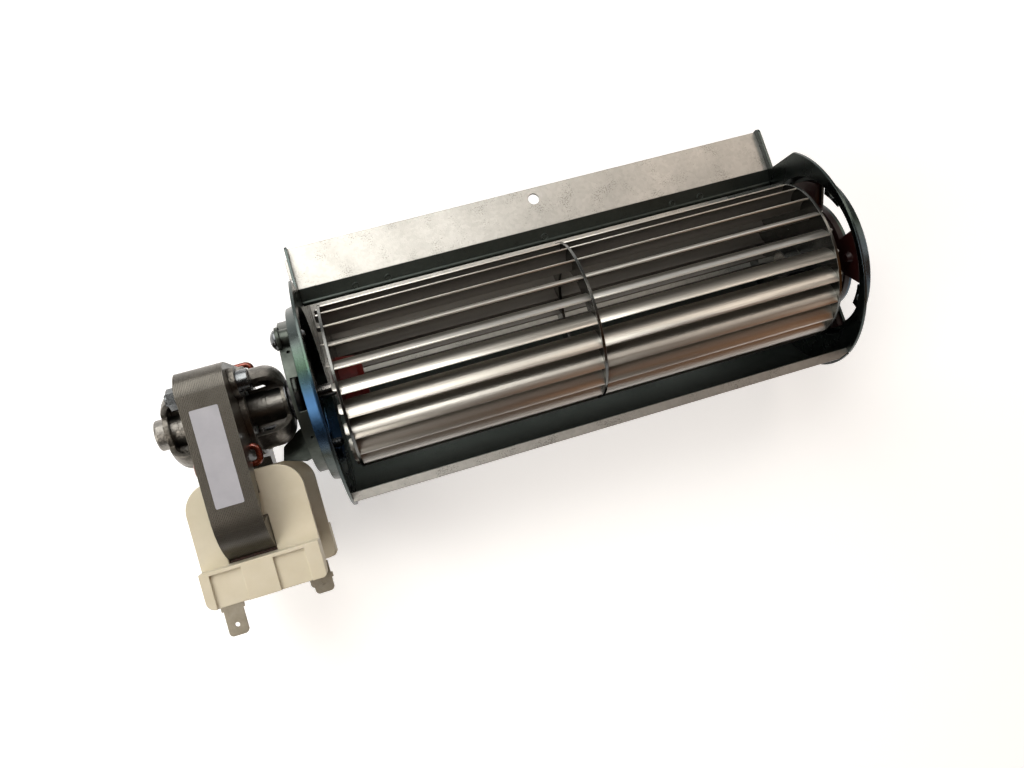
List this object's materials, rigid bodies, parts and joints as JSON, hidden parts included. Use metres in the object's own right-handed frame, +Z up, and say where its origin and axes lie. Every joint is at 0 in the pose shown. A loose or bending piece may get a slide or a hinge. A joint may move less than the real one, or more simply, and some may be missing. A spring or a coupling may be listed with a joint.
{
  "type": "tangential cooling fan",
  "caption": "Tangential blower: a long bladed wheel in a folded sheet casing with a wide flat outlet, turned by an open shaded-pole motor at one end.",
  "frame": {"origin": "middle of the hole in the mounting flange, on the flange's top face", "axes": "+X along the shaft from the motor to the far bearing, +Y out of the outlet, +Z up from the mounting flange"},
  "size_m": [0.2589, 0.1304, 0.0866],
  "materials": {
    "galvanised_sheet": "zinc coated, speckled",
    "plate_steel": "zinc coated, blue-green sheen",
    "dark_silicone": "matte",
    "sintered_bronze": "dull",
    "bracket_steel": "zinc coated",
    "zinc_screws": "bright zinc",
    "black_rubber": "matte",
    "diecast": "cast, satin",
    "laminations": "stacked sheet edges",
    "bare_copper": "satin",
    "cream_plastic": "moulded",
    "enamelled_copper": "enamelled",
    "tinned_brass": "dull tin",
    "shaft_steel": "ground",
    "cast_aluminium": "cast",
    "nylon": "moulded",
    "red_silicone": "matte",
    "wheel_steel": "bright rolled sheet"
  },
  "bodies": {
    "housing": {"scroll_sheet": "galvanised_sheet", "tongue_sheet": "galvanised_sheet", "motor_end_plate": "plate_steel", "bearing_end_plate": "plate_steel", "bearing_spider": "dark_silicone", "end_bush": "sintered_bronze", "motor_bracket": "bracket_steel", "bracket_screws": "zinc_screws", "nose_grommet": "black_rubber", "front_bearing_bracket": "diecast", "rear_bearing_bracket": "diecast", "front_bush": "sintered_bronze", "rear_bush": "sintered_bronze", "lamination_stack": "laminations", "coil_leg": "laminations", "shading_rings": "bare_copper", "stack_screws": "zinc_screws", "stack_nuts": "zinc_screws", "coil_former": "cream_plastic", "coil_winding": "enamelled_copper", "spade_terminals": "tinned_brass"},
    "rotor": {"motor_shaft": "shaft_steel", "rotor_core": "laminations", "rotor_cage": "cast_aluminium", "thrust_spacers": "nylon", "drive_hub": "red_silicone", "drive_sleeve": "shaft_steel", "drive_disc": "wheel_steel", "middle_ring": "wheel_steel", "end_disc": "wheel_steel", "blades": "wheel_steel", "stub_shaft": "shaft_steel"}
  },
  "joints": [
    {"name": "impeller_spin", "type": "hinge", "parent": "housing", "child": "rotor", "pos_m": [0, -0.0531, 0.0085], "axis": [1, 0, 0], "continuous": true}
  ]
}
